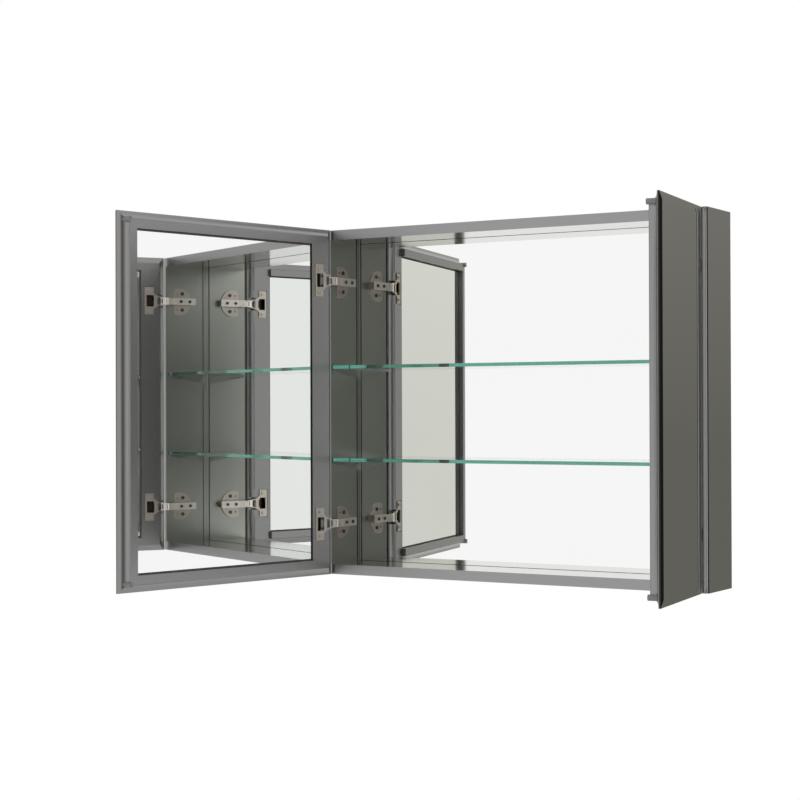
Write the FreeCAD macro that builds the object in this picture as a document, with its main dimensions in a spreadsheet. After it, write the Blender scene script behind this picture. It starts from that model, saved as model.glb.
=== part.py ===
import FreeCAD, Part
import math
import os

import Sketcher

# A surface-mounted medicine cabinet with two mirrored doors of unequal width, in
# millimetres.  The origin is the centre of the back face, the one that lies on the wall.
# +X runs to the right, +Y into the wall and +Z up.  Both doors are modelled open, which
# is the rest position.  Three local frames are used below:
#   side frame   X inward from the outer face of a side, Y back from the front plane
#   door frame   X from the hinge end to the free end, Y from the glass face inward
#   link frame   X from the arm pin to the cup pin, Y towards the inside of the cabinet
# The right-hand side and door are the left-hand ones turned half a turn about Y.

doc = FreeCAD.newDocument("medicine_cabinet")
sheet = doc.addObject("Spreadsheet::Sheet", "Dims")

DIMENSIONS = [
    # carcass
    ("width", 781.0), ("height", 660.4), ("depth", 111.0),
    ("glass_cover", 4.0), ("side_wall", 9.0), ("outer_deck", 9.6), ("inner_deck", 9.4),
    ("nose_depth", 4.0), ("nose_inset", 1.5), ("nose_round", 1.5),
    ("board", 7.0), ("mirror_thick", 3.0), ("mirror_gap", 0.5), ("rebate", 3.0),
    ("groove_width", 4.0), ("groove_depth", 3.0), ("groove_front", 91.3),
    # shelves and brackets
    ("shelf_thick", 6.35), ("shelf_gap", 1.5), ("shelf_front", 5.0), ("shelf_back", 12.0),
    ("lower_shelf_top", -108.0), ("upper_shelf_top", 70.5),
    ("bracket_wall", 3.0), ("bracket_ledge", 12.0), ("ledge_thick", 2.0),
    ("bracket_nose", 3.0), ("bracket_heel", 19.0),
    ("tab_thick", 3.6), ("tab_depth", 2.8),
    # screws
    ("screw_radius", 2.0), ("screw_head", 3.9), ("screw_length", 24.0),
    ("screw_front", 21.0), ("screw_rear", 81.0),
    ("board_screw_radius", 1.5), ("board_screw_head", 2.9), ("board_screw_length", 20.0),
    ("board_screw_spacing", 250.0),
    # wall hangers
    ("hanger_spacing", 406.4), ("hanger_height", 262.0), ("hanger_width", 60.0),
    ("hanger_tall", 24.0), ("hanger_thick", 2.0), ("keyhole_radius", 4.5),
    ("keyslot_radius", 2.25), ("keyslot_rise", 8.0), ("hanger_screw_offset", 24.0),
    ("hanger_recess", 5.0),
    # doors
    ("left_door_width", 507.0), ("right_door_width", 252.0), ("door_inset", 9.5),
    ("frame_thick", 23.0), ("door_thick", 16.0), ("bumper_gap", 3.0), ("door_glass", 4.0),
    ("bevel_width", 12.7), ("bevel_depth", 1.5),
    ("cove_radius", 18.0), ("cove_outset", 3.0), ("rail_width", 30.5),
    ("stile_width", 57.0), ("door_board", 6.5), ("inner_mirror_gap", 3.0),
    ("key_width", 11.0), ("key_thick", 6.0), ("key_offset", 17.5), ("key_length", 42.0),
    ("key_back", 5.0),
    ("bumper_radius", 5.0), ("bumper_from_edge", 13.0), ("bumper_from_end", 15.5),
    ("bumper_base", 5.0), ("bumper_stand", 2.8),
    # door hinges
    ("hinge_height", 232.0), ("pin_radius", 1.5), ("pin_clearance", 0.05),
    ("arm_pin_in", 26.0), ("cup_pin_in", 8.0), ("cup_pin_deep", 12.9),
    ("plate_front", 18.8), ("plate_half", 27.65), ("plate_round", 30.7), ("plate_thick", 2.5),
    ("plate_centre", 32.1), ("spare_hole_in", 27.0), ("spare_hole_height", 18.0),
    ("spare_hole_radius", 2.2),
    ("saddle_half", 5.6), ("saddle_top", 26.0), ("saddle_front", 23.0), ("saddle_length", 39.0),
    ("arm_half", 7.7), ("arm_web_in", 26.0), ("arm_web", 2.0), ("arm_front", 5.0),
    ("arm_back", 68.0), ("arm_cheek_front", 21.0), ("arm_cheek_back", 66.0),
    ("arm_cheek_in", 17.5), ("arm_cheek", 1.8), ("tongue_half", 5.5), ("tongue_eye", 3.0),
    ("tongue_back", 10.0), ("rib_front", 12.0), ("rib_pitch", 4.0), ("rib_width", 1.6),
    ("rib_height", 0.6),
    ("link_length", 15.616), ("link_half", 7.7), ("link_cheek", 2.0),
    ("link_arm_eye", 3.4), ("link_cup_eye", 2.8), ("link_web_near", 1.7), ("link_web", 1.5),
    ("link_web_start", 4.2), ("link_web_end", 3.4),
    ("notch_length", 49.5), ("notch_half", 32.2), ("notch_floor", 5.5),
    ("cup_plate_start", 27.4), ("cup_plate_length", 20.7), ("cup_plate_half", 30.65),
    ("cup_plate_thick", 1.8), ("cup_opening_half", 12.9), ("cup_opening_end", 44.0),
    ("cup_wall", 1.6), ("ear_inner", 8.2), ("ear_outer", 10.4), ("ear_eye", 3.0),
    ("wing_root", 18.0), ("wing_tip", 9.0), ("wing_start", 13.0),
    ("bridge_start", 18.0), ("bridge_end", 26.0), ("bridge_thick", 1.5),
    ("cup_screw_height", 23.0), ("cup_screw_in", 37.0), ("cup_screw_tip", 7.0),
    ("plate_screw_radius", 1.75), ("plate_screw_head", 3.9), ("plate_screw_in", 40.0),
    ("plate_screw_height", 18.5), ("plate_screw_length", 9.5),
    ("adjuster_radius", 2.0), ("adjuster_head", 3.4), ("adjuster_front", 31.0),
    ("adjuster_back", 53.0), ("adjuster_length", 11.5), ("pan_head", 1.7),
    ("drive_width", 1.0), ("drive_span", 4.4), ("drive_depth", 1.0),
    # how far each door stands open at rest, and the link's turn for each degree of it
    ("left_open", 102.8), ("right_open", 97.1), ("link_share", 0.1254),
]

size = {}
for row, (alias, value) in enumerate(DIMENSIONS, start=1):
    sheet.set("A%d" % row, alias)
    sheet.set("B%d" % row, repr(value))
    sheet.setAlias("B%d" % row, alias)
    size[alias] = value
doc.recompute()

X_AXIS = FreeCAD.Vector(1, 0, 0)
Y_AXIS = FreeCAD.Vector(0, 1, 0)
Z_AXIS = FreeCAD.Vector(0, 0, 1)
UPRIGHT = FreeCAD.Rotation()
ALONG_X = FreeCAD.Rotation(Y_AXIS, 90)
ALONG_Y = FreeCAD.Rotation(X_AXIS, -90)
TOWARDS_FRONT = FreeCAD.Rotation(X_AXIS, 90)
DOWN = FreeCAD.Rotation(X_AXIS, 180)
HALF_TURN = FreeCAD.Rotation(Y_AXIS, 180)

nodes = []


def bound(expression):
    """Turn the plain words of an expression into references to the sheet."""
    words = expression.replace("(", " ( ").replace(")", " ) ").split()
    return " ".join("Dims." + word if word in size else word for word in words)


def value_of(expression):
    """The number that an expression of sheet words comes to, read from a spare cell."""
    sheet.set("D1", "=" + expression)
    sheet.recompute()
    number = float(sheet.get("D1"))
    sheet.clear("D1")
    return number


def bind(thing, **expressions):
    """Bind properties of an object to expressions in the sheet's words."""
    for name, expression in expressions.items():
        thing.setExpression(name, bound(expression))


def place(thing, position, turn=UPRIGHT):
    """Bind an object's place to three expressions and turn it."""
    thing.Placement = FreeCAD.Placement(FreeCAD.Vector(), turn)
    for axis, expression in zip("xyz", position):
        thing.setExpression("Placement.Base." + axis, bound(expression))
    return thing


def box(start, lengths):
    """A block from its least corner and its three lengths."""
    thing = doc.addObject("Part::Box", "block")
    bind(thing, Length=lengths[0], Width=lengths[1], Height=lengths[2])
    return place(thing, start)


def rod(start, radius, length, turn=UPRIGHT):
    """A round bar from the centre of its first end, along the turned Z."""
    thing = doc.addObject("Part::Cylinder", "rod")
    bind(thing, Radius=radius, Height=length)
    return place(thing, start, turn)


def cone(start, first_radius, last_radius, length, turn=UPRIGHT):
    """A truncated cone from the centre of its first end."""
    thing = doc.addObject("Part::Cone", "cone")
    bind(thing, Radius1=first_radius, Radius2=last_radius, Height=length)
    return place(thing, start, turn)


def join(pieces):
    """Several solids as one."""
    if len(pieces) == 1:
        return pieces[0]
    thing = doc.addObject("Part::MultiFuse", "joined")
    thing.Shapes = pieces
    thing.Refine = True
    return thing


def group(pieces):
    """Several separate solids as one object."""
    thing = doc.addObject("Part::Compound", "group")
    thing.Links = pieces
    return thing


def cut(base, tools):
    """A solid with others taken out of it."""
    thing = doc.addObject("Part::Cut", "cut")
    thing.Base = base
    thing.Tool = join(tools)
    thing.Refine = True
    return thing


def common(first, second):
    """The space two solids share."""
    thing = doc.addObject("Part::Common", "shared")
    thing.Base = first
    thing.Tool = second
    return thing


def node(label, thing, placement=None):
    """Give a finished sub-part its label and its place in the cabinet."""
    thing.Label = label
    if placement is not None:
        thing.Placement = placement.multiply(thing.Placement)
    nodes.append(thing)
    return thing


def mirrored(thing, normal):
    """The mirror image of a solid in the plane through the origin with this normal."""
    image = doc.addObject("Part::Mirroring", "mirrored")
    image.Source = thing
    image.Base = FreeCAD.Vector()
    image.Normal = normal
    return image


def cross_drive_x(across, back, up):
    """The two slots of a cross recess, sunk into a screw head that faces +X."""
    upright = box([across, back + " - drive_width / 2", up + " - drive_span / 2"],
                  ["drive_depth", "drive_width", "drive_span"])
    level = box([across, back + " - drive_span / 2", up + " - drive_width / 2"],
                ["drive_depth", "drive_span", "drive_width"])
    return [upright, level]


def cross_drive_y(across, deep, up):
    """The two slots of a cross recess, sunk into a screw head that faces +Y."""
    upright = box([across + " - drive_width / 2", deep, up + " - drive_span / 2"],
                  ["drive_width", "drive_depth", "drive_span"])
    level = box([across + " - drive_span / 2", deep, up + " - drive_width / 2"],
                ["drive_span", "drive_depth", "drive_width"])
    return [upright, level]


# ---------------------------------------------------------------- outlines and bodies

def origin_plane(body, role):
    """One of a body's own origin planes."""
    for feature in body.Origin.OriginFeatures:
        if feature.Role == role:
            return feature
    raise RuntimeError("no plane " + role)


def sketch_outline(body, role, corners):
    """A closed outline of straight lines, every corner bound to the sheet."""
    sketch = body.newObject("Sketcher::SketchObject", "outline")
    sketch.AttachmentSupport = [(origin_plane(body, role), "")]
    sketch.MapMode = "FlatFace"
    points = [FreeCAD.Vector(value_of(across), value_of(up), 0) for across, up in corners]
    count = len(points)
    for index in range(count):
        following = points[(index + 1) % count]
        sketch.addGeometry(Part.LineSegment(points[index], following), False)
    for index in range(count):
        joint = Sketcher.Constraint("Coincident", index, 2, (index + 1) % count, 1)
        sketch.addConstraint(joint)
    for index, (across, up) in enumerate(corners):
        pin_corner(sketch, "DistanceX", index, across, points[index].x)
        pin_corner(sketch, "DistanceY", index, up, points[index].y)
    return sketch


def pin_corner(sketch, kind, index, expression, distance):
    """Hold one corner at its distance from the sketch's origin."""
    if abs(distance) < 1e-9:
        axis = -2 if kind == "DistanceX" else -1
        sketch.addConstraint(Sketcher.Constraint("PointOnObject", index, 1, axis))
        return
    if distance > 0:
        constraint = Sketcher.Constraint(kind, -1, 1, index, 1, distance)
        formula = bound(expression)
    else:
        constraint = Sketcher.Constraint(kind, index, 1, -1, 1, -distance)
        formula = "-(" + bound(expression) + ")"
    number = sketch.addConstraint(constraint)
    sketch.setExpression("Constraints[%d]" % number, formula)


def padded_body(name, role, corners, length, reverse=False):
    """A body made by padding one straight-sided outline."""
    body = doc.addObject("PartDesign::Body", name)
    sketch = sketch_outline(body, role, corners)
    pad = body.newObject("PartDesign::Pad", "pad")
    pad.Profile = sketch
    pad.Reversed = reverse
    bind(pad, Length=length)
    body.Tip = pad
    return body


# ---------------------------------------------------------------- places

def side_place(side):
    """Where a side frame sits in the cabinet."""
    if side == "left":
        return FreeCAD.Placement(FreeCAD.Vector(-size["width"] / 2, -size["depth"], 0), UPRIGHT)
    return FreeCAD.Placement(FreeCAD.Vector(size["width"] / 2, -size["depth"], 0), HALF_TURN)


def link_angle(side):
    """The link's direction in the side frame, in degrees from inward towards the room."""
    across = size["door_inset"] + size["cup_pin_in"] - size["arm_pin_in"]
    ahead = size["bumper_gap"] + size["frame_thick"] - size["cup_pin_deep"]
    shut = math.degrees(math.atan2(ahead, across))
    return shut - size["link_share"] * size[side + "_open"]


def link_place(side):
    """Where a link frame sits in the cabinet, at mid-height."""
    pin = FreeCAD.Vector(size["arm_pin_in"], 0, 0)
    local = FreeCAD.Placement(pin, FreeCAD.Rotation(Z_AXIS, -link_angle(side)))
    return side_place(side).multiply(local)


def door_place(side):
    """Where a door frame sits in the cabinet, with the door at its rest angle."""
    turn = FreeCAD.Rotation(Z_AXIS, -size[side + "_open"])
    reach = FreeCAD.Rotation(Z_AXIS, -link_angle(side)).multVec(X_AXIS * size["link_length"])
    arm_pin = FreeCAD.Vector(size["arm_pin_in"], 0, 0)
    cup_pin = FreeCAD.Vector(size["cup_pin_in"], size["cup_pin_deep"], 0)
    corner = arm_pin + reach - turn.multVec(cup_pin)
    return side_place(side).multiply(FreeCAD.Placement(corner, turn))


HINGES = [("upper", "hinge_height"), ("lower", "0 - hinge_height")]
INNER_FACE = "glass_cover + side_wall"
HALF_HEIGHT = "height / 2"
DECK = "outer_deck + inner_deck"

# ---------------------------------------------------------------- screws


def deck_screws():
    """Countersunk screws down through one end of the top deck into the left side panel."""
    screws = []
    across = "glass_cover + side_wall / 2 - width / 2"
    for back in ("screw_front - depth", "screw_rear - depth"):
        head = cone([across, back, HALF_HEIGHT], "screw_head", "screw_radius",
                    "screw_head - screw_radius", DOWN)
        shank = rod([across, back, HALF_HEIGHT], "screw_radius", "screw_length", DOWN)
        screws.append(join([head, shank]))
    return screws


def corner_screws():
    """All eight deck screws: the pair above the left side and its images."""
    screws = deck_screws()
    screws += [mirrored(screw, X_AXIS) for screw in deck_screws()]
    screws += [mirrored(mirrored(screw, X_AXIS), Z_AXIS) for screw in deck_screws()]
    screws += [mirrored(screw, Z_AXIS) for screw in deck_screws()]
    return screws


def board_screws():
    """Six countersunk screws through the back panel into the edges of the two decks."""
    screws = []
    for up in ("height / 2 - outer_deck - inner_deck / 2",
               "outer_deck + inner_deck / 2 - height / 2"):
        for across in ("0 - board_screw_spacing", "0", "board_screw_spacing"):
            head = cone([across, "0", up], "board_screw_head", "board_screw_radius",
                        "board_screw_head - board_screw_radius", TOWARDS_FRONT)
            shank = rod([across, "0", up], "board_screw_radius", "board_screw_length",
                        TOWARDS_FRONT)
            screws.append(join([head, shank]))
    return screws


HANGERS = ("0 - hanger_spacing / 2", "hanger_spacing / 2")


def hanger_screws():
    """Two short countersunk screws through each hanger plate."""
    screws = []
    for middle in HANGERS:
        for side in (" - ", " + "):
            across = middle + side + "hanger_screw_offset"
            head = cone([across, "0", "hanger_height"], "board_screw_head",
                        "board_screw_radius", "board_screw_head - board_screw_radius",
                        TOWARDS_FRONT)
            shank = rod([across, "0", "hanger_height"], "board_screw_radius",
                        "board - keyslot_radius / 4", TOWARDS_FRONT)
            screws.append(join([head, shank]))
    return screws


# ---------------------------------------------------------------- carcass

def nose(base, tall):
    """The rounded front corner of the metal, standing before the edge of the side mirror."""
    behind = box(["nose_inset", "nose_round", base],
                 ["glass_cover - nose_inset", "nose_depth - nose_round", tall])
    beside = box(["nose_inset + nose_round", "0", base],
                 ["glass_cover - nose_inset - nose_round", "nose_depth", tall])
    corner = rod(["nose_inset + nose_round", "nose_round", base], "nose_round", tall)
    return [behind, beside, corner]


def build_side_panel(side):
    """An extruded side wall with a nose, a bracket groove, a rebate and tapped ends."""
    wall = box(["glass_cover", "0", "outer_deck - height / 2"],
               ["side_wall", "depth", "height - 2 * outer_deck"])
    groove = box([INNER_FACE + " - groove_depth", "groove_front", "0 - height / 2"],
                 ["groove_depth", "groove_width", "height"])
    rebate = box([INNER_FACE + " - rebate", "depth - board", "0 - height / 2"],
                 ["rebate", "board", "height"])
    tools = [groove, rebate]
    for level, middle in HINGES:
        tools += plate_screw_shanks(middle)
    for back in ("screw_front", "screw_rear"):
        start = "height / 2 - screw_length"
        tools.append(rod(["glass_cover + side_wall / 2", back, start],
                         "screw_radius", "screw_length"))
        tools.append(rod(["glass_cover + side_wall / 2", back, "0 - height / 2"],
                         "screw_radius", "screw_length"))
    wall = join([wall] + nose("outer_deck - height / 2", "height - 2 * outer_deck"))
    node(side + "_side_panel", cut(wall, tools), side_place(side))


def build_side_mirror(side):
    """The mirror glass that covers the outer face of a side behind the nose."""
    glass = box(["0", "nose_depth", "0 - height / 2"],
                ["glass_cover", "depth - nose_depth", "height"])
    node(side + "_side_mirror", group([glass]), side_place(side))


def top_deck():
    """The top: an outer deck over the sides, with their noses, and an inner deck between."""
    outer = box(["glass_cover - width / 2", "0 - depth", "height / 2 - outer_deck"],
                ["width - 2 * glass_cover", "depth", "outer_deck"])
    inner = box([INNER_FACE + " - width / 2", "0 - depth", "height / 2 - outer_deck - inner_deck"],
                ["width - 2 * glass_cover - 2 * side_wall", "depth - board", "inner_deck"])
    ends = nose("height / 2 - outer_deck", "outer_deck")
    ends_again = nose("height / 2 - outer_deck", "outer_deck")
    left_end = join(ends)
    left_end.Placement = side_place("left")
    right_end = join(ends_again)
    right_end.Placement = side_place("left")
    tools = deck_screws()
    tools += [mirrored(screw, X_AXIS) for screw in deck_screws()]
    tools += board_screws()
    return cut(join([outer, inner, left_end, mirrored(right_end, X_AXIS)]), tools)


def build_decks():
    """The top panel, and the bottom panel as its mirror image."""
    node("top_panel", top_deck())
    node("bottom_panel", mirrored(top_deck(), Z_AXIS))


def keyhole(middle):
    """The entry hole and the slot above it in one hanger plate."""
    entry = rod([middle, "0 - hanger_thick", "hanger_height"], "keyhole_radius",
                "hanger_thick", ALONG_Y)
    slot = box([middle + " - keyslot_radius", "0 - hanger_thick", "hanger_height"],
               ["2 * keyslot_radius", "hanger_thick", "keyslot_rise"])
    end = rod([middle, "0 - hanger_thick", "hanger_height + keyslot_rise"],
              "keyslot_radius", "hanger_thick", ALONG_Y)
    return [entry, slot, end]


def hanger_blank(middle):
    """The outline block of one hanger plate."""
    return box([middle + " - hanger_width / 2", "0 - hanger_thick",
                "hanger_height - hanger_tall / 2"],
               ["hanger_width", "hanger_thick", "hanger_tall"])


def build_back():
    """The back board, its mirror, the two keyhole hangers and their screws."""
    board = box([INNER_FACE + " - rebate - width / 2", "0 - board", "outer_deck - height / 2"],
                ["width - 2 * glass_cover - 2 * side_wall + 2 * rebate", "board",
                 "height - 2 * outer_deck"])
    tools = board_screws() + hanger_screws()
    for middle in HANGERS:
        tools.append(hanger_blank(middle))
        tools.append(box([middle + " - hanger_width / 4", "0 - hanger_recess",
                          "hanger_height - hanger_tall / 3"],
                         ["hanger_width / 2", "hanger_recess", "hanger_tall * 5 / 6"]))
    node("back_panel", cut(board, tools))
    mirror = box([INNER_FACE + " + mirror_gap - width / 2", "0 - board - mirror_thick",
                  DECK + " + mirror_gap - height / 2"],
                 ["width - 2 * glass_cover - 2 * side_wall - 2 * mirror_gap", "mirror_thick",
                  "height - 2 * outer_deck - 2 * inner_deck - 2 * mirror_gap"])
    node("back_mirror", mirror)
    plates = [cut(hanger_blank(middle), keyhole(middle) + hanger_screws())
              for middle in HANGERS]
    node("hanger_plates", group(plates))
    node("hanger_screws", group(hanger_screws()))
    node("back_panel_screws", group(board_screws()))
    node("corner_screws", group(corner_screws()))


def build_shelf(level):
    """A glass shelf that lies loose on its two brackets."""
    shelf = box([INNER_FACE + " + shelf_gap - width / 2", "shelf_front - depth",
                 level + "_shelf_top - shelf_thick"],
                ["width - 2 * glass_cover - 2 * side_wall - 2 * shelf_gap",
                 "depth - shelf_front - shelf_back", "shelf_thick"])
    node(level + "_shelf", shelf)


def left_bracket(level):
    """A tapering clear bracket with a ledge for the shelf and a tab in the groove."""
    under = level + "_shelf_top - shelf_thick"
    tab_front = "groove_front + groove_width / 2 - tab_thick / 2"
    tab_back = "groove_front + groove_width / 2 + tab_thick / 2"
    corners = [("shelf_front", under), ("shelf_front", under + " - bracket_nose"),
               (tab_back, under + " - bracket_heel"), (tab_back, under)]
    web = padded_body(level + "_bracket_web", "YZ_Plane", corners, "bracket_wall")
    place(web, [INNER_FACE, "0", "0"])
    ledge = box([INNER_FACE, "shelf_front", under + " - ledge_thick"],
                ["bracket_ledge", tab_back + " - shelf_front", "ledge_thick"])
    tab = box([INNER_FACE + " - tab_depth", tab_front, under + " - bracket_heel"],
              ["tab_depth", "tab_thick", "bracket_heel"])
    bracket = join([web, ledge, tab])
    bracket.Placement = side_place("left")
    return bracket


def build_brackets(level):
    """One bracket at each end of a shelf."""
    node(level + "_left_bracket", left_bracket(level))
    node(level + "_right_bracket", mirrored(left_bracket(level), X_AXIS))


# ---------------------------------------------------------------- hinges, cabinet side

def plate_screw_shanks(middle):
    """The two screw shanks of one mounting plate, in the side frame."""
    start = INNER_FACE + " + plate_thick - plate_screw_length"
    return [rod([start, "plate_screw_in", middle + sign + "plate_screw_height"],
                "plate_screw_radius", "plate_screw_length", ALONG_X)
            for sign in (" - ", " + ")]


def plate_screws(middle):
    """The two pan-head screws of one mounting plate."""
    screws = []
    seat = INNER_FACE + " + plate_thick"
    for shank, sign in zip(plate_screw_shanks(middle), (" - ", " + ")):
        up = middle + sign + "plate_screw_height"
        head = rod([seat, "plate_screw_in", up], "plate_screw_head", "pan_head", ALONG_X)
        drive = cross_drive_x(seat + " + pan_head - drive_depth", "plate_screw_in", up)
        screws.append(cut(join([shank, head]), drive))
    return screws


def adjuster_shanks(middle):
    """The shanks of the two adjusting screws of one arm."""
    start = "arm_web_in + arm_web - adjuster_length"
    return [rod([start, back, middle], "adjuster_radius", "adjuster_length", ALONG_X)
            for back in ("adjuster_front", "adjuster_back")]


def adjusters(middle):
    """The two adjusting screws of one arm."""
    screws = []
    seat = "arm_web_in + arm_web"
    for shank, back in zip(adjuster_shanks(middle), ("adjuster_front", "adjuster_back")):
        head = rod([seat, back, middle], "adjuster_head", "pan_head", ALONG_X)
        drive = cross_drive_x(seat + " + pan_head - drive_depth", back, middle)
        screws.append(cut(join([shank, head]), drive))
    return screws


def mounting_plate(middle):
    """A plate straight in front and round behind, with the saddle that carries the arm."""
    disc = rod([INNER_FACE, "plate_centre", middle], "plate_round", "plate_thick", ALONG_X)
    window = box([INNER_FACE, "plate_front", middle + " - plate_round"],
                 ["plate_thick", "2 * plate_round", "2 * plate_round"])
    saddle = box([INNER_FACE + " + plate_thick", "saddle_front", middle + " - saddle_half"],
                 ["saddle_top - glass_cover - side_wall - plate_thick", "saddle_length",
                  "2 * saddle_half"])
    tools = plate_screw_shanks(middle) + adjuster_shanks(middle)
    for sign in (" - ", " + "):
        tools.append(rod([INNER_FACE, "spare_hole_in", middle + sign + "spare_hole_height"],
                         "spare_hole_radius", "plate_thick", ALONG_X))
    return cut(join([common(disc, window), saddle]), tools)


def hinge_arm(middle):
    """A channel-shaped arm over the saddle, ending in the tongue that holds the arm pin."""
    web = box(["arm_web_in", "arm_front", middle + " - arm_half"],
              ["arm_web", "arm_back - arm_front", "2 * arm_half"])
    pieces = [web]
    cheek_run = ["arm_web_in + arm_web - arm_cheek_in", "arm_cheek_back - arm_cheek_front",
                 "arm_cheek"]
    for up in (middle + " - arm_half", middle + " + arm_half - arm_cheek"):
        pieces.append(box(["arm_cheek_in", "arm_cheek_front", up], cheek_run))
    pieces.append(box(["arm_pin_in - tongue_eye", "0", middle + " - tongue_half"],
                      ["2 * tongue_eye", "tongue_back", "2 * tongue_half"]))
    pieces.append(rod(["arm_pin_in", "0", middle + " - tongue_half"], "tongue_eye",
                      "2 * tongue_half"))
    for step in range(3):
        pieces.append(box(["arm_web_in + arm_web", "rib_front + %d * rib_pitch" % step,
                           middle + " - arm_half"],
                          ["rib_height", "rib_width", "2 * arm_half"]))
    hole = rod(["arm_pin_in", "0", middle + " - tongue_half"],
               "pin_radius + pin_clearance", "2 * tongue_half")
    return cut(join(pieces), [hole] + adjuster_shanks(middle))


def build_cabinet_hinges(side):
    """Mounting plates and arms of one side, with a node for each."""
    for level, middle in HINGES:
        node(side + "_" + level + "_hinge_plate", mounting_plate(middle), side_place(side))
        node(side + "_" + level + "_hinge_arm", hinge_arm(middle), side_place(side))


def build_cabinet_hinge_screws():
    """The plate screws and the adjusting screws of all four hinges."""
    plate_group = []
    adjuster_group = []
    for side in ("left", "right"):
        for level, middle in HINGES:
            for screw in plate_screws(middle):
                screw.Placement = side_place(side)
                plate_group.append(screw)
            for screw in adjusters(middle):
                screw.Placement = side_place(side)
                adjuster_group.append(screw)
    node("hinge_plate_screws", group(plate_group))
    node("hinge_adjusting_screws", group(adjuster_group))


# ---------------------------------------------------------------- hinges, links and pins

def hinge_link(middle):
    """A bridge of two cheeks and a web that joins the arm pin to the cup pin."""
    pieces = []
    for up in (middle + " - link_half", middle + " + link_half - link_cheek"):
        pieces.append(box(["0", "0 - link_cup_eye", up],
                          ["link_length", "link_cup_eye + link_web_near + link_web",
                           "link_cheek"]))
        pieces.append(rod(["0", "0", up], "link_arm_eye", "link_cheek"))
        pieces.append(rod(["link_length", "0", up], "link_cup_eye", "link_cheek"))
    pieces.append(box(["link_web_start", "link_web_near", middle + " - link_half"],
                      ["link_length - link_web_start - link_web_end", "link_web",
                       "2 * link_half"]))
    arm_hole = rod(["0", "0", middle + " - link_half"], "pin_radius", "2 * link_half")
    cup_hole = rod(["link_length", "0", middle + " - link_half"],
                   "pin_radius + pin_clearance", "2 * link_half")
    return cut(join(pieces), [arm_hole, cup_hole])


def build_links(side):
    """The two links of one door and the arm pins riveted into them."""
    for level, middle in HINGES:
        node(side + "_" + level + "_hinge_link", hinge_link(middle), link_place(side))
    pins = [rod(["0", "0", middle + " - link_half"], "pin_radius", "2 * link_half")
            for level, middle in HINGES]
    node(side + "_arm_pins", group(pins), link_place(side))


# ---------------------------------------------------------------- hinges, door side

def cup_screw_shanks(middle):
    """The two screw shanks of one cup, in the door frame."""
    return [rod(["cup_screw_in", "cup_screw_tip", middle + sign + "cup_screw_height"],
                "plate_screw_radius", "door_thick - cup_screw_tip", ALONG_Y)
            for sign in (" - ", " + ")]


def cup_screws(middle):
    """The two pan-head screws of one cup."""
    screws = []
    for shank, sign in zip(cup_screw_shanks(middle), (" - ", " + ")):
        up = middle + sign + "cup_screw_height"
        head = rod(["cup_screw_in", "door_thick", up], "plate_screw_head", "pan_head", ALONG_Y)
        drive = cross_drive_y("cup_screw_in", "door_thick + pan_head - drive_depth", up)
        screws.append(cut(join([shank, head]), drive))
    return screws


def cup_ear(middle, sign):
    """The wing beside the opening and the ear under it that carries the cup pin."""
    wing_level = "door_thick - cup_plate_thick"
    corners = [("wing_start", middle + sign + "ear_inner"),
               ("wing_start", middle + sign + "wing_tip"),
               ("cup_plate_start", middle + sign + "wing_root"),
               ("cup_plate_start", middle + sign + "ear_inner")]
    wing = padded_body("cup_wing", "XZ_Plane", corners, "cup_plate_thick", True)
    place(wing, ["0", wing_level, "0"])
    if sign == " + ":
        start = middle + " + ear_inner"
    else:
        start = middle + " - ear_outer"
    ear = box(["cup_pin_in", "cup_pin_deep - ear_eye", start],
              ["cup_plate_start - cup_pin_in", "2 * ear_eye", "ear_outer - ear_inner"])
    eye = rod(["cup_pin_in", "cup_pin_deep", start], "ear_eye", "ear_outer - ear_inner")
    return [wing, ear, eye]


def hinge_cup(middle):
    """The open cup: a flange plate, a box behind its opening and two bridged wings."""
    flange = box(["cup_plate_start", "door_thick - cup_plate_thick", middle + " - cup_plate_half"],
                 ["cup_plate_length", "cup_plate_thick", "2 * cup_plate_half"])
    opening = box(["cup_plate_start", "door_thick - cup_plate_thick",
                   middle + " - cup_opening_half"],
                  ["cup_opening_end - cup_plate_start", "cup_plate_thick",
                   "2 * cup_opening_half"])
    pieces = [cut(flange, [opening])]
    box_tall = "door_thick - notch_floor"
    for up in (middle + " - cup_opening_half - cup_wall", middle + " + cup_opening_half"):
        pieces.append(box(["cup_plate_start", "notch_floor", up],
                          ["cup_opening_end + cup_wall - cup_plate_start", box_tall, "cup_wall"]))
    pieces.append(box(["cup_opening_end", "notch_floor", middle + " - cup_opening_half"],
                      ["cup_wall", box_tall, "2 * cup_opening_half"]))
    pieces.append(box(["cup_plate_start", "notch_floor", middle + " - cup_opening_half"],
                      ["cup_opening_end - cup_plate_start", "cup_wall / 2",
                       "2 * cup_opening_half"]))
    pieces.append(box(["bridge_start", "cup_pin_deep", middle + " - ear_inner"],
                      ["bridge_end - bridge_start", "bridge_thick", "2 * ear_inner"]))
    pieces += cup_ear(middle, " + ")
    pieces += cup_ear(middle, " - ")
    pin = cup_pin(middle)
    return cut(join(pieces), [pin] + cup_screw_shanks(middle))


def cup_pin(middle):
    """The pin through both ears of one cup."""
    return rod(["cup_pin_in", "cup_pin_deep", middle + " - ear_outer"], "pin_radius",
               "2 * ear_outer")


def build_door_hinges(side):
    """The cups, cup pins and cup screws of one door."""
    for level, middle in HINGES:
        node(side + "_" + level + "_hinge_cup", hinge_cup(middle), door_place(side))
    pins = [cup_pin(middle) for level, middle in HINGES]
    node(side + "_cup_pins", group(pins), door_place(side))
    screws = [screw for level, middle in HINGES for screw in cup_screws(middle)]
    node(side + "_cup_screws", group(screws), door_place(side))


# ---------------------------------------------------------------- doors

RAIL_INSIDE = "height / 2 - rail_width"


def mitre_cut(corners):
    """A three-cornered block through the whole depth of a door."""
    return padded_body("mitre", "XZ_Plane", corners, "3 * frame_thick", True)


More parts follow.
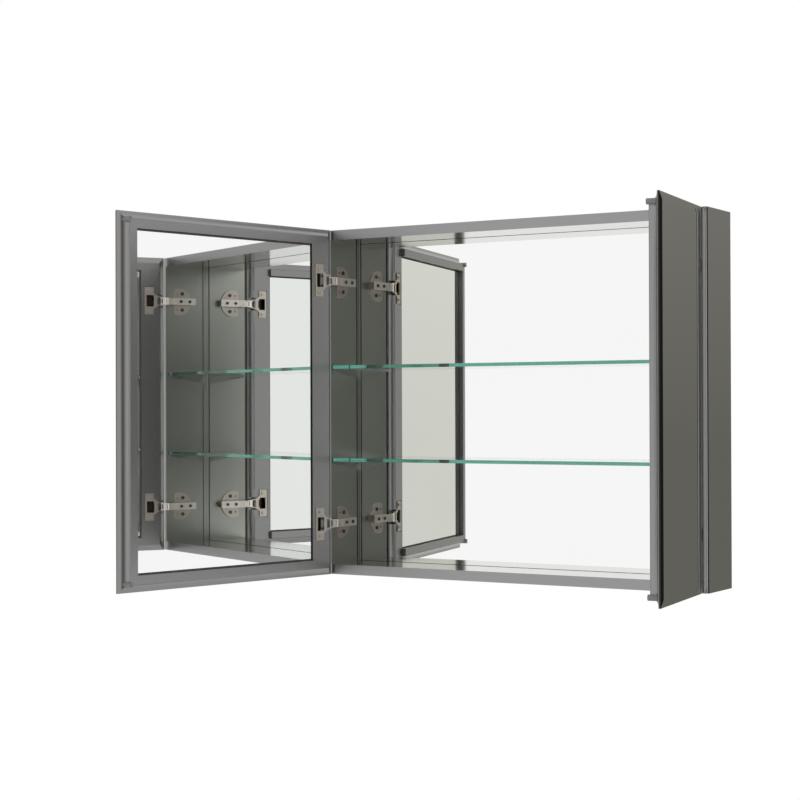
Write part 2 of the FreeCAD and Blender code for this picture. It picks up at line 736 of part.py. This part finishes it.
def free_key(door_width):
    """An angle key that joins the top rail to the free stile."""
    level = box([door_width + " - key_offset - key_length", "key_back",
                 "height / 2 - key_offset - key_width"],
                ["key_length", "key_thick", "key_width"])
    upright = box([door_width + " - key_offset - key_width", "key_back",
                   "height / 2 - key_offset - key_length"],
                  ["key_width", "key_thick", "key_length"])
    return join([level, upright])


def hinge_key():
    """An angle key that joins the top rail to the hinge stile."""
    level = box(["key_offset", "key_back", "height / 2 - key_offset - key_width"],
                ["key_length", "key_thick", "key_width"])
    upright = box(["key_offset", "key_back", "height / 2 - key_offset - key_length"],
                  ["key_width", "key_thick", "key_length"])
    return join([level, upright])


def bumper(door_width):
    """A soft post near the upper free corner that meets the cabinet when the door shuts."""
    return rod([door_width + " - bumper_from_edge", "bumper_base",
                "height / 2 - bumper_from_end"],
               "bumper_radius", "frame_thick - bumper_base + bumper_stand", ALONG_Y)


def level_cove(door_width):
    """The round bar whose path hollows the outer edge of the top rail."""
    return rod(["0", "frame_thick", "height / 2 + cove_outset"], "cove_radius", door_width,
               ALONG_X)


def upright_cove(across):
    """The round bar whose path hollows the outer edge of a stile."""
    return rod([across, "frame_thick", "0 - height / 2"], "cove_radius", "height")


def top_rail(door_width):
    """A rail with a land and a cove that leaves a thin outer edge, mitred at both ends.

    Over the hinge stile it is only as thick as that stile.
    """
    blank = box(["0", "door_glass", RAIL_INSIDE],
                [door_width, "frame_thick - door_glass", "rail_width"])
    free_mitre = mitre_cut([(door_width, "height / 2"), (door_width, RAIL_INSIDE),
                            (door_width + " - rail_width", RAIL_INSIDE)])
    hinge_mitre = mitre_cut([("0", "height / 2"), ("0", RAIL_INSIDE),
                             ("rail_width", RAIL_INSIDE)])
    thinned = box(["0", "door_thick", RAIL_INSIDE],
                  ["stile_width", "frame_thick - door_thick", "rail_width"])
    tools = [level_cove(door_width), free_mitre, hinge_mitre, thinned,
             free_key(door_width), hinge_key(), bumper(door_width)]
    return cut(blank, tools)


def free_stile_end(door_width):
    """What is taken from the upper end of the free stile."""
    mitre = mitre_cut([(door_width, "height / 2"), (door_width + " - rail_width", "height / 2"),
                       (door_width + " - rail_width", RAIL_INSIDE)])
    return [mitre, free_key(door_width), bumper(door_width)]


def free_stile(door_width):
    """The upright at the free edge, of the same section as the rails."""
    blank = box([door_width + " - rail_width", "door_glass", "0 - height / 2"],
                ["rail_width", "frame_thick - door_glass", "height"])
    tools = [upright_cove(door_width + " + cove_outset")] + free_stile_end(door_width)
    tools += [mirrored(tool, Z_AXIS) for tool in free_stile_end(door_width)]
    return cut(blank, tools)


def hinge_stile_end():
    """What is taken from the upper end of the hinge stile."""
    mitre = mitre_cut([("0", "height / 2"), ("stile_width", "height / 2"),
                       ("stile_width", RAIL_INSIDE), ("rail_width", RAIL_INSIDE)])
    return [mitre, hinge_key()]


def hinge_stile():
    """The wide, thinner upright at the hinge end, cut away for the two cups."""
    blank = box(["0", "door_glass", "0 - height / 2"],
                ["stile_width", "door_thick - door_glass", "height"])
    tools = [upright_cove("0 - cove_outset")] + hinge_stile_end()
    tools += [mirrored(tool, Z_AXIS) for tool in hinge_stile_end()]
    for level, middle in HINGES:
        tools.append(box(["0", "door_thick - cup_plate_thick", middle + " - notch_half"],
                         ["notch_length", "cup_plate_thick", "2 * notch_half"]))
        tools.append(box(["0", "notch_floor", middle + " - cup_opening_half - cup_wall"],
                         ["cup_opening_end + cup_wall", "door_thick - notch_floor",
                          "2 * cup_opening_half + 2 * cup_wall"]))
        tools += cup_screw_shanks(middle)
    return cut(blank, tools)


def bevelled_mirror(door_width):
    """The front mirror, full size, with a shallow bevel along all four edges."""
    plate = box(["0", "bevel_depth", "0 - height / 2"],
                [door_width, "door_glass - bevel_depth", "height"])
    crown = doc.addObject("Part::Wedge", "crown")
    bind(crown, Xmin="bevel_width", Xmax=door_width + " - bevel_width", Ymin="0",
         Ymax="bevel_depth", Zmin="bevel_width - height / 2", Zmax="height / 2 - bevel_width",
         X2min="0", X2max=door_width, Z2min="0 - height / 2", Z2max="height / 2")
    return join([plate, crown])


def build_door(side):
    """All the pieces of one door."""
    door_width = side + "_door_width"
    label = side + "_door_"
    spot = door_place(side)
    node(label + "front_mirror", bevelled_mirror(door_width), spot)
    node(label + "top_rail", top_rail(door_width), spot)
    node(label + "bottom_rail", mirrored(top_rail(door_width), Z_AXIS), spot)
    node(label + "free_stile", free_stile(door_width), spot)
    node(label + "hinge_stile", hinge_stile(), spot)
    inside = door_width + " - stile_width - rail_width"
    board = box(["stile_width", "door_glass", "rail_width - height / 2"],
                [inside, "door_board", "height - 2 * rail_width"])
    node(label + "backing_board", group([board]), spot)
    glass = box(["stile_width + inner_mirror_gap", "door_glass + door_board",
                 "rail_width + inner_mirror_gap - height / 2"],
                [inside + " - 2 * inner_mirror_gap", "mirror_thick",
                 "height - 2 * rail_width - 2 * inner_mirror_gap"])
    node(label + "inner_mirror", group([glass]), spot)
    keys = [free_key(door_width), mirrored(free_key(door_width), Z_AXIS),
            hinge_key(), mirrored(hinge_key(), Z_AXIS)]
    node(label + "corner_keys", group(keys), spot)
    bumpers = [bumper(door_width), mirrored(bumper(door_width), Z_AXIS)]
    node(label + "bumpers", group(bumpers), spot)


# ---------------------------------------------------------------- build, check, write

for side_name in ("left", "right"):
    build_side_panel(side_name)
    build_side_mirror(side_name)
build_decks()
build_back()
for shelf_level in ("upper", "lower"):
    build_shelf(shelf_level)
    build_brackets(shelf_level)
build_cabinet_hinge_screws()
for side_name in ("left", "right"):
    build_cabinet_hinges(side_name)
    build_links(side_name)
    build_door_hinges(side_name)
    build_door(side_name)
doc.recompute()

for thing in doc.Objects:
    if "Invalid" in thing.State or "Error" in thing.State:
        raise RuntimeError("%s (%s) did not compute" % (thing.Name, thing.Label))
for thing in nodes:
    if thing.Shape.isNull() or not thing.Shape.isValid():
        raise RuntimeError(thing.Label + " has no valid shape")

os.makedirs("parts", exist_ok=True)
for thing in nodes:
    thing.Shape.exportStep("parts/" + thing.Label + ".step")
    print("%-34s solids %2d  volume %12.1f" % (
        thing.Label, len(thing.Shape.Solids), thing.Shape.Volume))
for side_name in ("left", "right"):
    arm_pin = link_place(side_name).Base
    cup_pin_place = door_place(side_name).multVec(
        FreeCAD.Vector(size["cup_pin_in"], size["cup_pin_deep"], 0))
    print(side_name, "arm pin", arm_pin, "cup pin", cup_pin_place)
print(len(nodes), "nodes")
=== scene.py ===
import math

import bpy
from mathutils import Matrix, Vector

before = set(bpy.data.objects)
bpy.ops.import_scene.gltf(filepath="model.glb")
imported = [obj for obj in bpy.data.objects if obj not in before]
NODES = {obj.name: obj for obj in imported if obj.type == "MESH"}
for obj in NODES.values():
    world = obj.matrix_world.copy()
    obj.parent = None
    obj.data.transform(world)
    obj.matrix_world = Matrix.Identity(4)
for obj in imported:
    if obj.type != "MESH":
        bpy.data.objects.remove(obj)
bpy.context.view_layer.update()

# The look of a mirrored medicine cabinet.  Metres, in the part's own frame: the wall is at
# Y 0, the room is towards -Y, and Z 0 is mid-height.

SIDES = ("left", "right")
LEVELS = ("upper", "lower")

# How far each door stands open at rest.
OPEN_ANGLES = {"left": math.radians(102.8), "right": math.radians(97.1)}

# How squarely a face must look along an axis to count as facing it.
SQUARE_ON = 0.8

SATIN_ROUGHNESS = 0.3
NICKEL_ROUGHNESS = 0.36
DIE_LINE_SHADE = 0.96
MOTTLE_SHADE = 0.88
MOTTLE_SCALE = 60.0

DOOR_METAL = (0.29, 0.284, 0.284)
BUMPER_ROUNDING = 0.0012
HINGE_ROUNDING = 0.0003

# How far below a hinge cup's flange painted shade turns the plating dark inside the cup.
CUP_SHADE_FROM = 0.0025
CUP_SHADE_TO = 0.004

FLOOR_RADIUS = 2.1
FLOOR_CENTRE = Vector((0.0, -0.2, -1.25))
FLOOR_SIDES = 96

# Each studio flag: its name, its centre, half its width as a vector, half its height, and
# its colours low down and high up.
FLAGS = (
    # behind the wall, for the outer mirrors, with a black strip for the right door's bevel
    ("flag_behind_wall", (0.75, 1.0, 0.0), (0.45, 0.0, 0.0), 2.0,
     (0.126, 0.123, 0.110), (0.185, 0.178, 0.160)),
    ("black_flag", (0.97, 0.98, 0.0), (0.09, 0.0, 0.0), 2.0,
     (0.010, 0.010, 0.008), (0.012, 0.012, 0.010)),
    # beyond the camera, which the side walls see by way of the back mirror
    ("flag_behind_camera", (2.0, -4.1, 0.0), (1.36864, 0.8288, 0.0), 2.0,
     (0.148, 0.152, 0.137), (0.160, 0.163, 0.147)),
    # what the left door's mirror sees by way of the back mirror
    ("flag_left_of_camera", (-0.15, -4.2, 0.0), (0.55, 0.0, 0.0), 2.0,
     (0.71, 0.71, 0.66), (0.75, 0.75, 0.69)),
    # narrow ones, beyond the gaps at the doors' hinge ends
    ("flag_far_left", (-1.17, -1.39, 0.0), (0.026, -0.016, 0.0), 0.45,
     (0.10, 0.10, 0.09), (0.12, 0.12, 0.11)),
    ("flag_far_right", (1.88, -0.92, 0.0), (0.024, 0.044, 0.0), 0.46,
     (0.05, 0.05, 0.045), (0.06, 0.06, 0.055)),
)


# ------------------------------------------------------------------ shader helpers

def new_material(name):
    """A node material with its shader and node tree."""
    material = bpy.data.materials.new(name)
    material.use_nodes = True
    shader = material.node_tree.nodes["Principled BSDF"]
    return material, material.node_tree, shader


def object_coordinates(tree):
    """The texture coordinate node, whose Object output is in metres."""
    return tree.nodes.new("ShaderNodeTexCoord")


def stretched(tree, coords, scale):
    """Object coordinates scaled along each axis."""
    mapping = tree.nodes.new("ShaderNodeMapping")
    mapping.inputs["Scale"].default_value = scale
    tree.links.new(coords.outputs["Object"], mapping.inputs["Vector"])
    return mapping.outputs["Vector"]


def noise(tree, vector, scale, detail=3.0):
    """A noise value over the surface."""
    node = tree.nodes.new("ShaderNodeTexNoise")
    node.inputs["Scale"].default_value = scale
    node.inputs["Detail"].default_value = detail
    tree.links.new(vector, node.inputs["Vector"])
    return node.outputs["Fac"]


def ramp(tree, value, low, high, from_low=0.3, from_high=0.7):
    """A value spread between two numbers."""
    node = tree.nodes.new("ShaderNodeMapRange")
    node.inputs["From Min"].default_value = from_low
    node.inputs["From Max"].default_value = from_high
    node.inputs["To Min"].default_value = low
    node.inputs["To Max"].default_value = high
    tree.links.new(value, node.inputs["Value"])
    return node.outputs["Result"]


def blend(tree, value, first, second):
    """A colour between two, each a colour or a socket."""
    node = tree.nodes.new("ShaderNodeMix")
    node.data_type = "RGBA"
    tree.links.new(value, node.inputs["Factor"])
    for socket, colour in ((node.inputs["A"], first), (node.inputs["B"], second)):
        if isinstance(colour, bpy.types.NodeSocket):
            tree.links.new(colour, socket)
        else:
            socket.default_value = (*colour, 1)
    return node.outputs["Result"]


def shaded(colour, share):
    """A colour with every channel brought down to a share of itself."""
    return tuple(channel * share for channel in colour)


def bump(tree, shader, height, strength, distance):
    """Surface relief from a height value."""
    node = tree.nodes.new("ShaderNodeBump")
    node.inputs["Strength"].default_value = strength
    node.inputs["Distance"].default_value = distance
    tree.links.new(height, node.inputs["Height"])
    tree.links.new(node.outputs["Normal"], shader.inputs["Normal"])


def facing(tree, coords, axis):
    """1 where the surface faces along an axis, either way, and 0 elsewhere."""
    dot = tree.nodes.new("ShaderNodeVectorMath")
    dot.operation = "DOT_PRODUCT"
    dot.inputs[1].default_value = axis
    tree.links.new(coords.outputs["Normal"], dot.inputs[0])
    size = tree.nodes.new("ShaderNodeMath")
    size.operation = "ABSOLUTE"
    tree.links.new(dot.outputs["Value"], size.inputs[0])
    test = tree.nodes.new("ShaderNodeMath")
    test.operation = "GREATER_THAN"
    test.inputs[1].default_value = SQUARE_ON
    tree.links.new(size.outputs["Value"], test.inputs[0])
    return test.outputs["Value"]


def dress(material, *names):
    """Give a material to CAD nodes, in place of the plain one."""
    for name in names:
        NODES[name].data.materials.clear()
        NODES[name].data.materials.append(material)


def door_axis(side):
    """The direction a door's glass faces at rest."""
    turn = OPEN_ANGLES[side]
    hand = -1 if side == "right" else 1
    return Vector((hand * math.sin(turn), math.cos(turn), 0))


# ------------------------------------------------------------------ materials

def die_lines(tree, coords, grain, colour):
    """A metal's colour with faint lines along its length."""
    lines = noise(tree, stretched(tree, coords, grain), 1.0, 2.0)
    return blend(tree, lines, shaded(colour, DIE_LINE_SHADE), colour)


def extruded_metal(name, colour, grain):
    """Satin anodised aluminium with faint die lines along its length."""
    material, tree, shader = new_material(name)
    coords = object_coordinates(tree)
    shader.inputs["Metallic"].default_value = 1.0
    shader.inputs["Roughness"].default_value = SATIN_ROUGHNESS
    tree.links.new(die_lines(tree, coords, grain, colour), shader.inputs["Base Color"])
    return material


def lit_and_shaded_metal(name, axis, shaded_edge_colour, lit_face_colour, grain, face_roughness):
    """Anodised aluminium with painted light and shade: lighter on the faces across one axis,
    darker on its edges.
    """
    material, tree, shader = new_material(name)
    coords = object_coordinates(tree)
    face = facing(tree, coords, axis)
    shaded_edge_tone = die_lines(tree, coords, grain, shaded_edge_colour)
    lit_face_tone = die_lines(tree, coords, grain, lit_face_colour)
    shader.inputs["Metallic"].default_value = 1.0
    # faces across the axis get the lighter colour and edges the darker one: painted light and
    # shade on one metal
    tree.links.new(blend(tree, face, shaded_edge_tone, lit_face_tone), shader.inputs["Base Color"])
    shader.inputs["Roughness"].default_value = SATIN_ROUGHNESS
    if face_roughness != SATIN_ROUGHNESS:
        tree.links.new(ramp(tree, face, SATIN_ROUGHNESS, face_roughness, 0.0, 1.0),
                       shader.inputs["Roughness"])
    return material


def mirror_glass(name, axis):
    """Silvered glass: a mirror on its faces, with painted shade making its edges near-black.
    """
    material, tree, shader = new_material(name)
    coords = object_coordinates(tree)
    face = facing(tree, coords, axis)
    haze = noise(tree, coords.outputs["Object"], 3.0)
    silver = blend(tree, haze, (0.90, 0.915, 0.905), (0.925, 0.93, 0.92))
    depth = noise(tree, coords.outputs["Object"], MOTTLE_SCALE)
    # near-black edge colour: painted shade for the gaps the glass edges sit in
    edge = blend(tree, depth, (0.012, 0.013, 0.011), (0.02, 0.024, 0.02))
    tree.links.new(blend(tree, face, edge, silver), shader.inputs["Base Color"])
    tree.links.new(ramp(tree, face, 0.25, 1.0, 0.0, 1.0), shader.inputs["Metallic"])
    tree.links.new(ramp(tree, face, 0.12, 0.008, 0.0, 1.0), shader.inputs["Roughness"])
    return material


def shelf_glass():
    """Clear float glass, nearly colourless through its faces and green at its edges."""
    material, tree, shader = new_material("shelf_glass")
    coords = object_coordinates(tree)
    flat = facing(tree, coords, (0, 0, 1))
    smear = noise(tree, coords.outputs["Object"], 14.0)
    edge = blend(tree, smear, (0.24, 0.52, 0.44), (0.36, 0.63, 0.56))
    tree.links.new(blend(tree, flat, edge, (0.90, 0.97, 0.94)), shader.inputs["Base Color"])
    tree.links.new(ramp(tree, smear, 0.0, 0.03), shader.inputs["Roughness"])
    shader.inputs["Transmission Weight"].default_value = 1.0
    shader.inputs["IOR"].default_value = 1.5
    return material


def clear_plastic():
    """Clear moulded plastic with faint flow marks."""
    material, tree, shader = new_material("clear_plastic")
    coords = object_coordinates(tree)
    flow = noise(tree, stretched(tree, coords, (40, 12, 90)), 1.0)
    tree.links.new(blend(tree, flow, (0.86, 0.87, 0.86), (0.96, 0.96, 0.95)),
                   shader.inputs["Base Color"])
    tree.links.new(ramp(tree, flow, 0.03, 0.12), shader.inputs["Roughness"])
    shader.inputs["Transmission Weight"].default_value = 0.9
    shader.inputs["IOR"].default_value = 1.3
    shader.inputs["Alpha"].default_value = 0.4
    return material


def plated_metal(name, colour, roughness):
    """Plated steel or die casting with a slightly uneven lustre."""
    material, tree, shader = new_material(name)
    coords = object_coordinates(tree)
    mottle = noise(tree, coords.outputs["Object"], MOTTLE_SCALE)
    shader.inputs["Metallic"].default_value = 1.0
    shader.inputs["Roughness"].default_value = roughness
    tree.links.new(blend(tree, mottle, shaded(colour, MOTTLE_SHADE), colour),
                   shader.inputs["Base Color"])
    return material


def cup_metal_painted_shade(side):
    """Plated metal with painted shade inside its cup, dark below the level of its flange."""
    material, tree, shader = new_material(side + "_cup_metal_painted_shade")
    axis = door_axis(side)
    flange = max(vertex.co.dot(axis) for level in LEVELS
                 for vertex in NODES[side + "_" + level + "_hinge_cup"].data.vertices)
    coords = object_coordinates(tree)
    depth = tree.nodes.new("ShaderNodeVectorMath")
    depth.operation = "DOT_PRODUCT"
    depth.inputs[1].default_value = axis
    tree.links.new(coords.outputs["Object"], depth.inputs[0])
    above_painted_shade = ramp(tree, depth.outputs["Value"], 0.0, 1.0, flange - CUP_SHADE_TO,
                   flange - CUP_SHADE_FROM)
    mottle = noise(tree, coords.outputs["Object"], MOTTLE_SCALE)
    nickel = blend(tree, mottle, (0.50, 0.455, 0.40), (0.58, 0.53, 0.47))
    shader.inputs["Metallic"].default_value = 1.0
    shader.inputs["Roughness"].default_value = NICKEL_ROUGHNESS
    # near-black inside the cup below the flange: painted shade in the recess
    tree.links.new(blend(tree, above_painted_shade, (0.05, 0.038, 0.032), nickel),
                   shader.inputs["Base Color"])
    return material


def hardboard():
    """Grey painted fibreboard with a fine pressed weave."""
    material, tree, shader = new_material("hardboard")
    coords = object_coordinates(tree)
    fibre = noise(tree, coords.outputs["Object"], 900.0, 6.0)
    patch = noise(tree, coords.outputs["Object"], 12.0)
    worn = blend(tree, patch, (0.12, 0.12, 0.118), (0.16, 0.158, 0.154))
    tree.links.new(blend(tree, fibre, worn, (0.2, 0.196, 0.19)), shader.inputs["Base Color"])
    tree.links.new(ramp(tree, fibre, 0.6, 0.85), shader.inputs["Roughness"])
    bump(tree, shader, fibre, 0.35, 0.0006)
    return material


def soft_rubber():
    """Translucent grey bumper rubber."""
    material, tree, shader = new_material("bumper_rubber")
    coords = object_coordinates(tree)
    bloom = noise(tree, coords.outputs["Object"], 220.0)
    tree.links.new(blend(tree, bloom, (0.15, 0.148, 0.147), (0.2, 0.197, 0.195)),
                   shader.inputs["Base Color"])
    tree.links.new(ramp(tree, bloom, 0.38, 0.55), shader.inputs["Roughness"])
    shader.inputs["Subsurface Weight"].default_value = 0.2
    shader.inputs["Subsurface Radius"].default_value = (0.002, 0.002, 0.002)
    return material


def soften(name, width):
    """Round a node's sharp edges."""
    bevel = NODES[name].modifiers.new("soft_edges", "BEVEL")
    bevel.width = width
    bevel.segments = 3
    bevel.limit_method = "ANGLE"


def dress_carcass():
    """Materials for the box, its mirrors, its shelves and their brackets."""
    # top and bottom panels: painted light on the faces across Z, painted shade on their edges
    deck = lit_and_shaded_metal("deck_metal_lit_and_shaded", (0, 0, 1), (0.33, 0.322, 0.325), (0.65, 0.635, 0.61),
                          (12, 300, 300), 0.14)
    # side panels: painted light on the faces across X, painted shade on their front and back
    # edges
    wall = lit_and_shaded_metal("side_metal_lit_and_shaded", (1, 0, 0), (0.32, 0.317, 0.312), (0.45, 0.455, 0.425),
                          (300, 300, 8), SATIN_ROUGHNESS)
    dress(deck, "top_panel", "bottom_panel")
    dress(wall, "left_side_panel", "right_side_panel")
    dress(mirror_glass("side_mirror", (1, 0, 0)), "left_side_mirror", "right_side_mirror")
    dress(mirror_glass("back_mirror", (0, 1, 0)), "back_mirror")
    dress(shelf_glass(), "upper_shelf", "lower_shelf")
    dress(clear_plastic(), *[level + "_" + side + "_bracket"
                             for side in SIDES for level in LEVELS])


def dress_doors(board, zinc):
    """Materials for the two doors, without their hinges."""
    rail = extruded_metal("satin_rail", DOOR_METAL, (300, 8, 300))
    stile = extruded_metal("satin_stile", DOOR_METAL, (300, 300, 8))
    rubber = soft_rubber()
    for side in SIDES:
        door = side + "_door_"
        glass = mirror_glass(side + "_door_glass", door_axis(side))
        dress(glass, door + "front_mirror", door + "inner_mirror")
        dress(rail, door + "top_rail", door + "bottom_rail")
        dress(stile, door + "free_stile", door + "hinge_stile")
        dress(board, door + "backing_board")
        dress(zinc, door + "corner_keys")
        dress(rubber, door + "bumpers")
        soften(door + "bumpers", BUMPER_ROUNDING)


def dress_hinges():
    """Materials for the four hinges, with their pins and screws."""
    nickel = plated_metal("nickel", (0.62, 0.565, 0.505), NICKEL_ROUGHNESS)
    # a lighter copy of the same nickel for the arms and links: painted highlight
    nickel_painted_highlight = plated_metal("nickel_painted_highlight", (0.92, 0.87, 0.81), 0.33)
    dark_steel = plated_metal("dark_steel", (0.15, 0.13, 0.115), 0.4)
    dress(dark_steel, "hinge_plate_screws", "hinge_adjusting_screws")
    for side in SIDES:
        dress(nickel, side + "_arm_pins", side + "_cup_pins", side + "_cup_screws")
        # cup material with painted shade inside the cups
        shaded_cups = cup_metal_painted_shade(side)
        for level in LEVELS:
            hinge = side + "_" + level + "_hinge_"
            dress(nickel, hinge + "plate")
            dress(shaded_cups, hinge + "cup")
            dress(nickel_painted_highlight, hinge + "arm", hinge + "link")
            for part in ("plate", "arm", "link", "cup"):
                soften(hinge + part, HINGE_ROUNDING)


def dress_everything():
    """Materials for every CAD node."""
    board = hardboard()
    zinc = plated_metal("zinc", (0.56, 0.57, 0.58), 0.38)
    dress(board, "back_panel")
    dress(zinc, "corner_screws", "back_panel_screws", "hanger_plates", "hanger_screws")
    dress_carcass()
    dress_doors(board, zinc)
    dress_hinges()


# ------------------------------------------------------------------ stage, light, camera

def stage_plane(name, centre, across, up, material):
    """A flat rectangle from its centre and two half-edge vectors."""
    corners = [centre - across - up, centre + across - up, centre + across + up,
               centre - across + up]
    mesh = bpy.data.meshes.new(name)
    mesh.from_pydata([tuple(corner) for corner in corners], [], [(0, 1, 2, 3)])
    plane = bpy.data.objects.new(name, mesh)
    bpy.context.scene.collection.objects.link(plane)
    plane.data.materials.append(material)
    return plane


def floor_material():
    """Pale matt floor with the faintest unevenness."""
    material, tree, shader = new_material("pale_floor")
    coords = object_coordinates(tree)
    cloud = noise(tree, coords.outputs["Object"], 2.0)
    tree.links.new(blend(tree, cloud, (0.86, 0.86, 0.85), (0.9, 0.9, 0.89)),
                   shader.inputs["Base Color"])
    shader.inputs["Roughness"].default_value = 0.9
    return material


def flag_material(name, low_colour, high_colour):
    """A glow that changes a little from low down to high up."""
    material = bpy.data.materials.new(name)
    material.use_nodes = True
    tree = material.node_tree
    tree.nodes.clear()
    output = tree.nodes.new("ShaderNodeOutputMaterial")
    glow = tree.nodes.new("ShaderNodeEmission")
    coords = object_coordinates(tree)
    parts = tree.nodes.new("ShaderNodeSeparateXYZ")
    tree.links.new(coords.outputs["Object"], parts.inputs["Vector"])
    rise = ramp(tree, parts.outputs["Z"], 0.0, 1.0, -0.1, 0.6)
    tree.links.new(blend(tree, rise, low_colour, high_colour), glow.inputs["Color"])
    tree.links.new(glow.outputs["Emission"], output.inputs["Surface"])
    return material


def build_flag(name, centre, across, half_height, low_colour, high_colour):
    """A studio flag: mirrors and polished metal see it, the camera doesn't."""
    flag = stage_plane(name, Vector(centre), Vector(across), Vector((0, 0, half_height)),
                       flag_material(name, low_colour, high_colour))
    flag.visible_camera = False
    flag.visible_diffuse = False
    flag.visible_shadow = False
    flag.visible_transmission = False
    return flag


def build_floor():
    """A round floor below the cabinet, small enough to end short of the view."""
    turns = [step * math.tau / FLOOR_SIDES for step in range(FLOOR_SIDES)]
    rim = [FLOOR_CENTRE + FLOOR_RADIUS * Vector((math.cos(turn), math.sin(turn), 0))
           for turn in turns]
    mesh = bpy.data.meshes.new("floor")
    mesh.from_pydata([tuple(point) for point in rim], [], [tuple(range(FLOOR_SIDES))])
    floor = bpy.data.objects.new("floor", mesh)
    bpy.context.scene.collection.objects.link(floor)
    floor.data.materials.append(floor_material())


def build_stage():
    """White surroundings, a pale floor and dim flags for the mirrors to see."""
    build_floor()
    for flag in FLAGS:
        build_flag(*flag)
    world = bpy.data.worlds.new("studio")
    bpy.context.scene.world = world
    world.use_nodes = True
    backdrop = world.node_tree.nodes["Background"]
    backdrop.inputs["Color"].default_value = (1, 1, 1, 1)
    backdrop.inputs["Strength"].default_value = 1.0


def build_camera():
    """A long lens some three metres off, right of the cabinet and level with it."""
    place = Vector((1.5332, -3.0092, -0.0157))
    heading = math.radians(31.2)
    pitch = math.radians(0.32)
    roll = math.radians(0.18)
    level = Vector((-math.sin(heading), math.cos(heading), 0))
    forward = level * math.cos(pitch) + Vector((0, 0, math.sin(pitch)))
    right = Vector((math.cos(heading), math.sin(heading), 0))
    up = right.cross(forward)
    rolled_right = right * math.cos(roll) - up * math.sin(roll)
    rolled_up = up * math.cos(roll) + right * math.sin(roll)
    rotation = Matrix((rolled_right, rolled_up, -forward)).transposed()
    data = bpy.data.cameras.new("camera")
    data.sensor_width = 36.0
    data.lens = 81.13
    data.clip_end = 50.0
    camera = bpy.data.objects.new("camera", data)
    camera.matrix_world = Matrix.Translation(place) @ rotation.to_4x4()
    bpy.context.scene.collection.objects.link(camera)
    bpy.context.scene.camera = camera


def set_light_paths():
    """Enough bounces for mirrors that face each other and for the glass shelves."""
    cycles = bpy.context.scene.cycles
    cycles.max_bounces = 16
    cycles.glossy_bounces = 12
    cycles.transmission_bounces = 12
    cycles.transparent_max_bounces = 12
    cycles.caustics_reflective = True
    bpy.context.scene.view_settings.view_transform = "Standard"


dress_everything()
build_stage()
build_camera()
set_light_paths()
